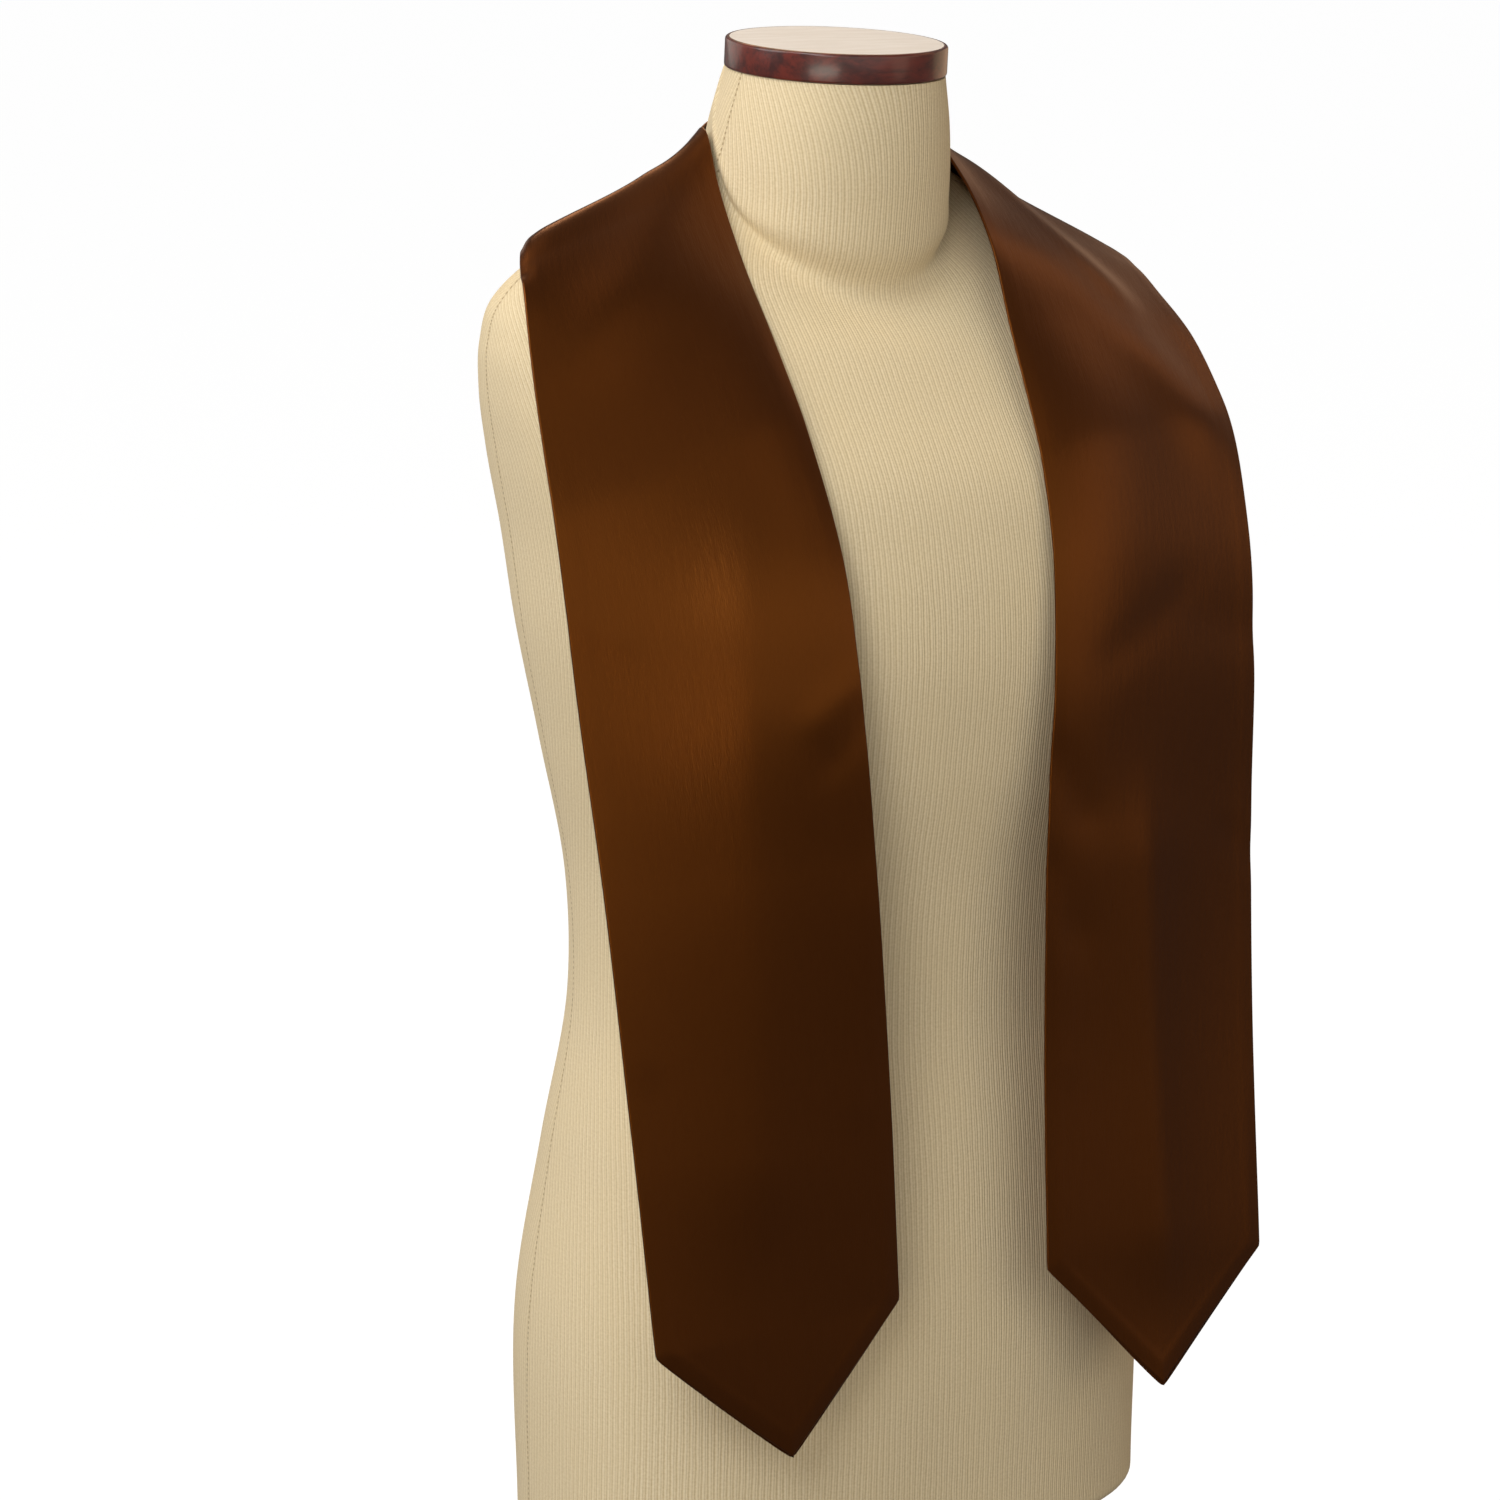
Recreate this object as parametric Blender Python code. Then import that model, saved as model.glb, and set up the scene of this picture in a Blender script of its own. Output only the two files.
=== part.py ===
"""A graduation stole worn by a limbless dress form on a round wooden base.

Metres, +Z up. The form faces -Y and its left is +X. The origin is the centre of the base's underside.
Tables are in millimetres, and a "drop" is measured down from the top of the wooden neck cap.
"""

import math

import bmesh
import bpy
import numpy as np

MM = 0.001
GAP = 0.3  # between pieces that touch, mm

# The stand and the form, mm
CAP_TOP = 920.0  # height of the neck cap's top above the table
CAP_RADIUS = 56.0
CAP_THICK = 15.0
CAP_EDGE = 1.5
CAP_FORWARD_TILT = 2.6  # degrees
CAP_SIDE_TILT = 1.4  # degrees, down on the form's left
FORM_BOTTOM_DROP = 766.0
POLE_RADIUS = 16.0
POLE_FLANGE = (35.0, 8.0, 6.0)  # radius, thickness and cone below, under the form
POLE_FOOT = (26.0, 6.0, 8.0)  # radius, thickness and cone above, on the base
BASE_RADIUS = 150.0
BASE_THICK = 22.0
BASE_EDGE = 5.0
ROUND_STEPS = 48

# The stole, mm
STOLE_WIDTH = 140.0
POINT_LENGTH = 68.0  # of the V at each end, below the corners
POINT_TIP_WIDTH = 3.0
CLOTH_THICK = 1.6  # two layers of satin with their turned edges
SEAM_CALM = 40.0  # the folds die out over this length before the centre-back seam
FOLD_RUN_OUT = 1.6  # how far a fold runs on beyond its ends, in its own widths
CELLS_ACROSS = 10
CELLS_ALONG = 60
CELLS_IN_POINT = 6

CLOTH = ("stole_satin", (0.106, 0.031, 0.006), 0.42, 0.0)
JERSEY = ("cream_jersey", (0.78, 0.64, 0.40), 0.85, 0.0)
CHERRY = ("cherry_wood", (0.105, 0.018, 0.0125), 0.30, 0.0)

# Lines across each half of the stole, from the corners of its point up over the shoulder to the seam
# at the centre back: where the inner and outer edge lie, and how far the middle stands proud of the
# straight line between them (less than nothing where it dips).
SECTION_COLUMNS = "in_x in_y in_drop out_x out_y out_drop crown"
RIGHT_SECTIONS = (
    (-48, -140, 613, -187, -137, 622, 1),  # corners of the point
    (-56, -141, 491, -194, -123, 501, 2),  # waist
    (-66, -144, 385, -200, -110, 394, 3),
    (-74, -142, 296, -205, -95, 304, 5),  # chest
    (-75, -126, 234, -206, -80, 236, 6),
    (-74, -95, 184, -204, -61, 184, 6),  # below the collar bone
    (-72, -57, 138, -200, -42, 143, 6),
    (-70, -22, 100, -194, -25, 112, 4),
    (-68, 3, 68, -189, -13, 100, -1),
    (-63, 22, 45, -182, 1, 93, -6),  # top of the shoulder
    (-56, 42, 48, -164, 28, 97, -7),
    (-45, 55, 46, -143, 59, 104, -6),
    (-29, 65, 42, -106, 90, 138, -1),  # shoulder blade
    (-14, 70, 39, -52, 112, 176, 4),
    (0, 72, 38, 0, 121, 204, 3),  # seam at the centre back
)
LEFT_SECTIONS = (
    (42, -138, 613, 179, -132, 623, 1),
    (43, -131, 495, 180, -120, 502, 2),
    (44, -131, 385, 182, -113, 393, 3),
    (48, -130, 300, 185, -109, 310, 5),
    (52, -120, 243, 188, -98, 252, 6),
    (55, -97, 187, 190, -74, 199, 7),
    (59, -69, 139, 191, -42, 160, 5),
    (64, -42, 98, 186, -18, 139, 1),
    (68, -10, 71, 183, -3, 128, -3),
    (65, 22, 49, 179, 14, 121, -5),
    (56, 42, 47, 164, 36, 121, -5),
    (45, 55, 45, 143, 64, 128, -5),
    (29, 65, 42, 106, 92, 152, -1),
    (14, 70, 39, 52, 112, 182, 4),
    (0, 72, 38, 0, 121, 204, 3),
)
RIGHT_TIP = (-111, -141, 684)
LEFT_TIP = (109, -148, 683)

# The largest folds, as soft ridges (or troughs, where the height is below nothing) along a line.
# Places are millimetres up from the corners of the point, and millimetres from the inner edge.
FOLD_COLUMNS = "from_up from_in to_up to_in width height"
RIGHT_FOLDS = (
    (505, 105, 575, 25, 22, 2.5),  # light ridge just in front of the shoulder's top
    (400, 70, 470, 55, 34, -2.5),  # hollow below the collar bone
    (90, 66, 330, 78, 16, 2.0),  # long crease down the middle
)
LEFT_FOLDS = (
    (430, 118, 560, 30, 20, 3.0),  # diagonal ridge over the collar bone
    (300, 60, 400, 80, 30, -2.5),
    (20, 74, 300, 70, 16, 2.0),
)

# Level sections of the form. The neck is round; the torso is wide and flattened, and the two are
# blended, so that the shoulders run up into the neck.
NECK_COLUMNS = "drop centre_y radius"
NECK = (
    (15.3, 1, 55.0),
    (41, 6, 60.0),
    (60, 10, 62.5),
    (84, 15, 63.5),
    (110, 20, 63.0),
    (150, 26, 58.0),
    (200, 26, 40.0),
    (766, 26, 40.0),
)
TORSO_COLUMNS = "drop centre_y half_width front back square"
TORSO = (
    (15.3, 24, 30, 12, 12, 2.0),
    (48, 24, 55, 14, 18, 2.0),
    (58, 24, 67, 18, 24, 2.0),
    (68, 24, 80, 22, 29, 2.0),
    (78, 24, 98, 26, 33, 2.0),
    (90, 23, 124, 33, 38, 2.1),
    (102, 22, 147, 42, 43, 2.2),
    (114, 21, 166, 52, 50, 2.3),
    (130, 20, 181, 64, 65, 2.4),
    (150, 17, 187, 80, 80, 2.4),
    (175, 14, 187, 97, 93, 2.4),
    (205, 10, 183, 115, 104, 2.4),
    (245, 6, 176, 124, 108, 2.4),
    (290, 3, 170, 126, 107, 2.4),
    (350, 2, 158, 119, 100, 2.4),
    (420, 2, 145, 106, 94, 2.3),
    (480, 3, 143, 103, 95, 2.3),
    (560, 5, 156, 112, 107, 2.3),
    (640, 6, 168, 117, 116, 2.4),
    (766, 5, 170, 112, 112, 2.4),
)
FORM_EDGE = 6.0  # rounded edge round the flat bottom
FORM_BLEND = 9.0  # how softly neck and torso run together
FORM_STEPS = 44  # points round each section
SHOULDER_CROWDING = 0.28  # how far those points are drawn towards the shoulders, in radians
FORM_FARTHEST = 400.0  # further from the neck's axis than any of its points
HALVINGS = 40
CREASE_PASSES = 1  # times that the hollows of the form are filled to the mean round them
RING_COLUMNS = "from_drop to_drop rings"
FORM_RINGS = (
    (CAP_THICK + GAP, 48, 4),
    (48, 130, 14),  # the turn from the neck to the shoulders
    (130, 300, 10),
    (300, FORM_BOTTOM_DROP - FORM_EDGE, 14),
)
ROUND_TURNS = np.linspace(0, 2 * np.pi, FORM_STEPS, endpoint=False)
CROWDED_TURNS = ROUND_TURNS - SHOULDER_CROWDING * np.sin(2 * ROUND_TURNS)
WAYS = np.stack([np.cos(CROWDED_TURNS), np.sin(CROWDED_TURNS)], axis=1)  # out from the neck's axis
LEAN = 2.5  # degrees, the shoulders drop to the form's left
LEAN_FULL_DROP = 200.0
LEAN_NONE_DROP = 480.0
NECK_LEAN_DROP = 60.0  # above it the lean eases into the cap's own
CAP_FOLLOW_DEPTH = 30.0  # the top of the neck follows the cap's forward tilt down to this far below it


def clear_scene():
    for old in list(bpy.data.objects):
        bpy.data.objects.remove(old, do_unlink=True)


def material(name, colour, roughness, metallic):
    made = bpy.data.materials.new(name)
    made.use_nodes = True
    shader = made.node_tree.nodes["Principled BSDF"]
    shader.inputs["Base Color"].default_value = (*colour, 1.0)
    shader.inputs["Roughness"].default_value = roughness
    shader.inputs["Metallic"].default_value = metallic
    made.diffuse_color = (*colour, 1.0)
    return made


def make_object(name, points, faces, finish):
    """A closed mesh from points in millimetres, placed in the scene in metres."""
    mesh = bpy.data.meshes.new(name)
    mesh.from_pydata([tuple(point) for point in np.asarray(points) * MM], [], faces)
    shape = bmesh.new()
    shape.from_mesh(mesh)
    bmesh.ops.recalc_face_normals(shape, faces=shape.faces)
    shape.to_mesh(mesh)
    shape.free()
    mesh.shade_smooth()
    mesh.set_sharp_from_angle(angle=math.radians(40))
    mesh.materials.append(finish)
    made = bpy.data.objects.new(name, mesh)
    bpy.context.scene.collection.objects.link(made)
    return made


def columns(names, rows):
    """A table's columns by name, each as an array."""
    return dict(zip(names.split(), np.array(rows, float).T))


def stack(table, names):
    """Some columns of a table, side by side."""
    return np.stack([table[name] for name in names.split()], axis=1)


def smooth_curve(knots, values, places):
    """Values at the places, on a smooth curve through every row of values at its knot: a cubic between
    each two knots, with the slope of a parabola through each three."""
    steps = np.diff(knots)[:, None]
    slopes = np.diff(values, axis=0) / steps
    tangents = np.empty_like(values)
    tangents[0] = slopes[0]
    tangents[-1] = slopes[-1]
    tangents[1:-1] = (slopes[:-1] * steps[1:] + slopes[1:] * steps[:-1]) / (steps[:-1] + steps[1:])
    spans = np.clip(np.searchsorted(knots, places, side="right") - 1, 0, len(steps) - 1)
    reach = steps[spans]
    part = ((places - knots[spans])[:, None]) / reach
    start = (1 + 2 * part) * (1 - part) ** 2
    end = part**2 * (3 - 2 * part)
    leave = part * (1 - part) ** 2 * reach
    arrive = part**2 * (part - 1) * reach
    return (
        start * values[spans]
        + end * values[spans + 1]
        + leave * tangents[spans]
        + arrive * tangents[spans + 1]
    )


def from_drop(points):
    """Points given as x, y, drop, as x, y, height above the table."""
    return np.asarray(points, float) * (1, 1, -1) + (0, 0, CAP_TOP)


def unit(vectors):
    return vectors / np.linalg.norm(vectors, axis=-1, keepdims=True)


def grid_normals(grid):
    """Unit normals of a grid of points, out of the cloth's face side."""
    along = np.gradient(grid, axis=0)
    across = np.gradient(grid, axis=1)
    return unit(np.cross(across, along))


def fold_height(folds, up, inward):
    """How far the folds lift the cloth at each place of it."""
    height = np.zeros(np.broadcast(up, inward).shape)
    for row in folds:
        fold = dict(zip(FOLD_COLUMNS.split(), row))
        run = np.array([fold["to_up"] - fold["from_up"], fold["to_in"] - fold["from_in"]], float)
        length = np.linalg.norm(run)
        run /= length
        off_up = up - fold["from_up"]
        off_in = inward - fold["from_in"]
        beside = off_in * run[0] - off_up * run[1]
        forward = off_up * run[0] + off_in * run[1]
        beyond = np.maximum(0, np.maximum(-forward, forward - length))
        fade = np.exp(-((beyond / (FOLD_RUN_OUT * fold["width"])) ** 2))
        height += fold["height"] * fade * np.exp(-((beside / fold["width"]) ** 2))
    return height


def stole_half(name, sections, tip, folds, side, finish):
    """One half of the stole, from the tip of its point to the seam at the centre back.

    side is -1 for the wearer's right and +1 for the left."""
    table = columns(SECTION_COLUMNS, sections)
    inner = from_drop(stack(table, "in_x in_y in_drop"))
    outer = from_drop(stack(table, "out_x out_y out_drop"))
    crown = stack(table, "crown")
    middle = (inner + outer) / 2
    knots = np.concatenate([[0], np.cumsum(np.linalg.norm(np.diff(middle, axis=0), axis=1))])
    places = np.linspace(0, knots[-1], CELLS_ALONG + 1)
    edges = smooth_curve(knots, np.hstack([inner, outer, crown]), places)
    share = np.linspace(0, 1, CELLS_ACROSS + 1)

    # The point: its lines run parallel to the line between the corners and shorten down to the tip.
    shrink = np.linspace(1, 0, CELLS_IN_POINT, endpoint=False)[:, None]
    tip_share = POINT_TIP_WIDTH / STOLE_WIDTH
    half_width = (outer[0] - inner[0]) / 2 * (1 - shrink * (1 - tip_share))
    line_middle = middle[0] + (from_drop(tip) - middle[0]) * shrink
    point = np.hstack([line_middle - half_width, line_middle + half_width, crown[0] * (1 - shrink)])

    rows = np.vstack([point, edges])
    up = np.concatenate([-shrink[:, 0] * POINT_LENGTH, places])[:, None]
    inward = share[None, :] * STOLE_WIDTH
    grid = rows[:, None, 0:3] * (1 - share[None, :, None]) + rows[:, None, 3:6] * share[None, :, None]
    bow = 27 / 4 * share * (1 - share) ** 2  # 1 at its highest, a third of the way out
    lift = rows[:, 6:7] * bow + fold_height(folds, up, inward)
    seam_fade = np.clip((knots[-1] - up) / SEAM_CALM, 0, 1)
    lift = lift * seam_fade + rows[-1, 6] * bow * (1 - seam_fade)
    grid = grid + grid_normals(grid) * side * lift[..., None]
    normals = grid_normals(grid) * side
    # The two halves meet in the plane x = 0, so the seam's points move only within that plane.
    normals[-1, :, 0] = 0
    normals[-1] = unit(normals[-1])
    grid[-1, :, 0] = side * GAP / 2

    face = grid + normals * CLOTH_THICK / 2
    back = grid - normals * CLOTH_THICK / 2
    face[-1, :, 0] = back[-1, :, 0] = side * GAP / 2
    return wall_object(name, face, back, finish)


def wall_object(name, face, back, finish):
    """A closed wall between two grids of points."""
    rows, columns = face.shape[:2]
    points = np.concatenate([face.reshape(-1, 3), back.reshape(-1, 3)])

    def at(layer, row, column):
        return layer * rows * columns + row * columns + column

    faces = []
    for row in range(rows - 1):
        for column in range(columns - 1):
            for layer in (0, 1):
                corners = [
                    at(layer, row, column),
                    at(layer, row, column + 1),
                    at(layer, row + 1, column + 1),
                    at(layer, row + 1, column),
                ]
                faces.append(corners[::-1] if layer else corners)
    border = [(0, column) for column in range(columns - 1)]
    border += [(row, columns - 1) for row in range(rows - 1)]
    border += [(rows - 1, column) for column in range(columns - 1, 0, -1)]
    border += [(row, 0) for row in range(rows - 1, 0, -1)]
    for here, there in zip(border, border[1:] + border[:1]):
        faces.append([at(0, *there), at(0, *here), at(1, *here), at(1, *there)])
    return make_object(name, points, faces, finish)


def rings_object(name, rings, finish):
    """A closed solid through rings of points, top ring first, with a fan over each end."""
    rings = np.asarray(rings)
    count, steps = rings.shape[:2]
    ends = rings[[0, -1]].mean(axis=1)
    points = np.concatenate([rings.reshape(-1, 3), ends])
    faces = []
    for ring in range(count - 1):
        for step in range(steps):
            after = (step + 1) % steps
            faces.append(
                [
                    ring * steps + step,
                    (ring + 1) * steps + step,
                    (ring + 1) * steps + after,
                    ring * steps + after,
                ]
            )
    for end, ring in ((0, 0), (1, count - 1)):
        for step in range(steps):
            after = (step + 1) % steps
            fan = [count * steps + end, ring * steps + step, ring * steps + after]
            faces.append(fan[::-1] if end else fan)
    return make_object(name, points, faces, finish)


def turned_object(name, profile, finish, forward_tilt=0.0, side_tilt=0.0, pivot_height=0.0):
    """A turned solid: profile rows are (radius, height), from the top down."""
    angles = np.linspace(0, 2 * np.pi, ROUND_STEPS, endpoint=False)
    rings = [
        np.stack([radius * np.cos(angles), radius * np.sin(angles), np.full(ROUND_STEPS, height)], axis=1)
        for radius, height in profile
    ]
    rings = np.array(rings) - (0, 0, pivot_height)
    forward = math.radians(forward_tilt)
    sideways = math.radians(side_tilt)
    nod = np.array(
        [
            [1, 0, 0],
            [0, math.cos(forward), -math.sin(forward)],
            [0, math.sin(forward), math.cos(forward)],
        ]
    )
    lean = np.array(
        [
            [math.cos(sideways), 0, math.sin(sideways)],
            [0, 1, 0],
            [-math.sin(sideways), 0, math.cos(sideways)],
        ]
    )
    rings = rings @ (lean @ nod).T + (0, 0, pivot_height)
    return rings_object(name, rings, finish)


def rounded_disc(radius, top, bottom, edge):
    """Profile of a disc with rounded edges, from the top down."""
    turn = np.radians((0, 30, 60, 90))
    upper = [(radius - edge + edge * math.sin(a), top - edge + edge * math.cos(a)) for a in turn]
    lower = [(radius - edge + edge * math.cos(a), bottom + edge - edge * math.sin(a)) for a in turn]
    return upper + lower


def ring_reach(drop):
    """How far the form lies from the neck's axis at one drop, each way round, before it leans."""
    neck = columns(NECK_COLUMNS, NECK)
    torso = columns(TORSO_COLUMNS, TORSO)
    place = np.array([drop])
    neck_y, neck_radius = smooth_curve(neck["drop"], stack(neck, "centre_y radius"), place)[0]
    torso_values = stack(torso, "centre_y half_width front back square")
    torso_y, half_width, front, back, square = smooth_curve(torso["drop"], torso_values, place)[0]
    # First the torso's outline alone, found by halving.
    low, high = np.zeros(FORM_STEPS), np.full(FORM_STEPS, FORM_FARTHEST)
    for _ in range(HALVINGS):
        middle = (low + high) / 2
        x = WAYS[:, 0] * middle
        y = WAYS[:, 1] * middle + neck_y - torso_y
        depth = np.where(y < 0, front, back)
        inside = np.abs(x / half_width) ** square + np.abs(y / depth) ** square < 1
        low = np.where(inside, middle, low)
        high = np.where(inside, high, middle)
    # The further of the two outlines, run together softly, with the swelling where they cross taken off.
    ahead = (low - neck_radius) / FORM_BLEND
    swelling = math.log(2) * np.exp(-(ahead**2))
    return neck_radius + FORM_BLEND * (np.logaddexp(0, ahead) - swelling), neck_y


def fill_creases(reach):
    """The same reaches with hollows filled up to the mean of the points round them."""
    for _ in range(CREASE_PASSES):
        beside = (np.roll(reach, 1, axis=1) + np.roll(reach, -1, axis=1)) / 2
        above_below = (reach[:-2] + reach[2:]) / 2
        mean = (beside[1:-1] + above_below) / 2
        reach[1:-1] = np.maximum(reach[1:-1], mean)
    return reach


def lean_slope(drop):
    """How much lower the form lies for each millimetre to its left, at a drop."""
    share = np.clip((LEAN_NONE_DROP - drop) / (LEAN_NONE_DROP - LEAN_FULL_DROP), 0, 1)
    share = share * share * (3 - 2 * share)
    neck_share = np.clip(drop / NECK_LEAN_DROP, 0, 1)
    degrees = CAP_SIDE_TILT + (LEAN - CAP_SIDE_TILT) * neck_share
    return np.tan(np.radians(degrees)) * share


def dress_form(finish):
    drops = []
    for row in FORM_RINGS:
        stretch = dict(zip(RING_COLUMNS.split(), row))
        drops += list(np.linspace(stretch["from_drop"], stretch["to_drop"], stretch["rings"], endpoint=False))
    drops.append(FORM_BOTTOM_DROP - FORM_EDGE)
    reach, neck_y = zip(*[ring_reach(drop) for drop in drops])
    reach = fill_creases(np.array(reach))
    rings = np.empty((len(drops), FORM_STEPS, 3))
    rings[..., :2] = WAYS * reach[..., None]
    rings[..., 1] += np.array(neck_y)[:, None]
    rings[..., 2] = np.array(drops)[:, None]
    last = rings[-1]
    to_centre = unit(last.mean(axis=0) - last)
    edge = [
        last + to_centre * FORM_EDGE * (1 - math.cos(turn)) + (0, 0, FORM_EDGE * math.sin(turn))
        for turn in np.radians((45, 90))
    ]
    rings = np.concatenate([rings, edge])
    rings[..., 2] += rings[..., 0] * lean_slope(rings[:, :1, 2])
    cap_share = np.clip(1 - (rings[..., 2] - CAP_THICK) / CAP_FOLLOW_DEPTH, 0, 1)
    rings[..., 2] -= rings[..., 1] * math.tan(math.radians(CAP_FORWARD_TILT)) * cap_share
    return rings_object("dress_form", from_drop(rings), finish)


def stand(finish):
    cap_bottom = CAP_TOP - CAP_THICK
    turned_object(
        "neck_cap",
        rounded_disc(CAP_RADIUS, CAP_TOP, cap_bottom, CAP_EDGE),
        finish,
        CAP_FORWARD_TILT,
        CAP_SIDE_TILT,
        CAP_TOP,
    )
    pole_top = CAP_TOP - FORM_BOTTOM_DROP - GAP
    pole_bottom = BASE_THICK + GAP
    flange_radius, flange_thick, flange_cone = POLE_FLANGE
    foot_radius, foot_thick, foot_cone = POLE_FOOT
    turned_object(
        "pole",
        [
            (flange_radius, pole_top),
            (flange_radius, pole_top - flange_thick),
            (POLE_RADIUS, pole_top - flange_thick - flange_cone),
            (POLE_RADIUS, pole_bottom + foot_thick + foot_cone),
            (foot_radius, pole_bottom + foot_thick),
            (foot_radius, pole_bottom),
        ],
        finish,
    )
    turned_object("base", rounded_disc(BASE_RADIUS, BASE_THICK, 0, BASE_EDGE), finish)


def main():
    clear_scene()
    cloth = material(*CLOTH)
    wood = material(*CHERRY)
    dress_form(material(*JERSEY))
    stand(wood)
    stole_half("stole_right", RIGHT_SECTIONS, RIGHT_TIP, RIGHT_FOLDS, -1, cloth)
    stole_half("stole_left", LEFT_SECTIONS, LEFT_TIP, LEFT_FOLDS, 1, cloth)


main()
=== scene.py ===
"""Looks of a satin graduation stole worn by a limbless dress form on a round wooden base.

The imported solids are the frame. Metres, +Z up; the form faces -Y and its left is +X. Tables are in
millimetres, as in the solids' own source: a "drop" is measured down from the top of the neck cap.
"""

import math

import bmesh
import bpy
import numpy as np
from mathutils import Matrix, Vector

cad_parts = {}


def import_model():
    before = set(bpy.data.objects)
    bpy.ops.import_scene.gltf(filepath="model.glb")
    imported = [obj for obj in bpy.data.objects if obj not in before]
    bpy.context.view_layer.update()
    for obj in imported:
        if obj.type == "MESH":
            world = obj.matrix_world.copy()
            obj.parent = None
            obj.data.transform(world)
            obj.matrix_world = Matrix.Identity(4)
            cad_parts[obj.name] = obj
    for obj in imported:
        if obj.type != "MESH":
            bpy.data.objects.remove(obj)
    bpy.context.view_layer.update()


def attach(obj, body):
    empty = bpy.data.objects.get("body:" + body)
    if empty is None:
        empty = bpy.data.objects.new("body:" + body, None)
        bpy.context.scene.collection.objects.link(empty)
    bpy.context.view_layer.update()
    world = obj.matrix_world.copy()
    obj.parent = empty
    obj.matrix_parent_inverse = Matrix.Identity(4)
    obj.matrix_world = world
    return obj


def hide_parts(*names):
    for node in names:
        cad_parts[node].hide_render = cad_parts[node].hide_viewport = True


MM = 0.001

# ---------------------------------------------------------------- sizes, mm and degrees

CAP_TOP = 920.0
CAP_RADIUS = 56.0
CAP_THICK = 15.0
CAP_EDGE = 1.5
CAP_FORWARD_TILT = 2.6
CAP_SIDE_TILT = 1.4
# The top face's pale colour is a painted reflection of an overhead light on the lacquered wood.
CAP_FACE_RADIUS = 53.8  # of the pale top face

FORM_BOTTOM_DROP = 766.0
FORM_EDGE = 6.0
FORM_EDGE_TURNS = (15, 30, 45, 60, 75, 90)  # the rings round the bottom edge
FORM_BLEND = 9.0  # how softly neck and torso run together
FRONT_BLEND = 17.0  # the same in front, softer than in the solids
FRONT_BLEND_SLOPE = 1.6  # how the front's blend comes in, by the sine of the turn to the front
FRONT_BLEND_START = 0.4
FORM_FARTHEST = 400.0
HALVINGS = 40
FORM_AROUND = 176
FORM_SIDE_CROWD = 0.28  # how much closer the mesh's columns lie at the sides, which bend most
FORM_FINE_DROP = 150.0  # down to here the rings lie closer together
FORM_FINE_STEP = 1.7
FORM_RING_STEP = 3.4
LEAN = 2.5
LEAN_FULL_DROP = 200.0
LEAN_NONE_DROP = 480.0
NECK_LEAN_DROP = 60.0
CAP_FOLLOW_DEPTH = 30.0
GAP = 0.3

WALE_PITCH = 3.2  # between the knit's ribs
WALE_WANDER = 1.6  # how far a rib strays from its line
WALE_LEAN = 17.0  # how far the front's ribs lean to the form's right at the top of the neck
WALE_LEAN_DROP = 78.0  # where they begin to lean, and over how far and how steeply
WALE_LEAN_RUN = 70.0
WALE_LEAN_CURVE = 1.6
WALE_LEAN_HALF = 30.0  # the lean fades between this far right and left of the middle, down to its least share
WALE_LEAN_LEAST = 0.1
STITCH_PITCH = 2.8  # along the side seams
NO_SEAM = 100.0  # a distance at which no seam shows

FLANGE_RADIUS = 35.0  # of the pole's top, under the form
FLANGE_THICK = 8.0
FLANGE_EDGE = 1.5
FLANGE_UNDER_EDGE = 2.0
POLE_RADIUS = 16.0
FOOT_RADIUS = 26.0
FOOT_THICK = 4.0
FOOT_SHOULDER = 3.0
FOOT_EDGE = 1.5
# The pole's swell towards both ends: radius, and mm from that end.
FLANGE_SWELL = ((27.0, 8.6), (20.0, 10.8), (17.0, 12.6), (POLE_RADIUS, 14.0))
FOOT_SWELL = ((POLE_RADIUS, 14.0), (17.2, 11.6), (21.0, 9.0))
BASE_RADIUS = 150.0
BASE_THICK = 22.0
BASE_EDGE = 5.0
BASE_RINGS = (0.0, 60.0, 120.0)
TURNED_AROUND = 128

STOLE_WIDTH = 140.0
POINT_LENGTH = 68.0
CLOTH_THICK = 1.6
SEAM_CALM = 40.0  # how far from the centre-back seam the folds die away
FOLD_RUN_OUT = 1.6  # how far a fold runs on past its ends, in its own widths
CELL = 2.0  # of the cloth's mesh
POINT_ROWS = 44
POINT_CROWD = 1.6  # how much closer the rows lie towards the tip
TIP_ROUND = 1.6  # how blunt the tip is
CORNER_ROUND = 0.02  # how blunt the corners are, as a share of half the width
LEFT_POINT_BOW = 2.6  # how far the inner slant of the left point bows inwards
EDGE_COLUMNS = (0.0, 0.08, 0.3, 0.62, 1.0, 1.7, 2.8, 4.2)  # from each edge, where the turned edge bends
EDGE_ROLL = 0.8  # radius of the turned edge
PILLOW_DEPTH = 6.0  # how far in from an edge the cloth still bends away towards it
PILLOW_CURVE = 1.5
EDGE_DIP = 0.25  # how far it bends away
POINT_EDGE_DIP = 1.0
HEM_DEPTH = 10.0  # how far the turned-in edge reaches, which shows through as a low step
HEM_SLOPE = 5.0
HEM_LIFT = 0.12
POINT_HEM_LIFT = 0.2
POINT_FADE = 90.0  # how far above its corners the point's own dip and lift give way to the band's

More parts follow.
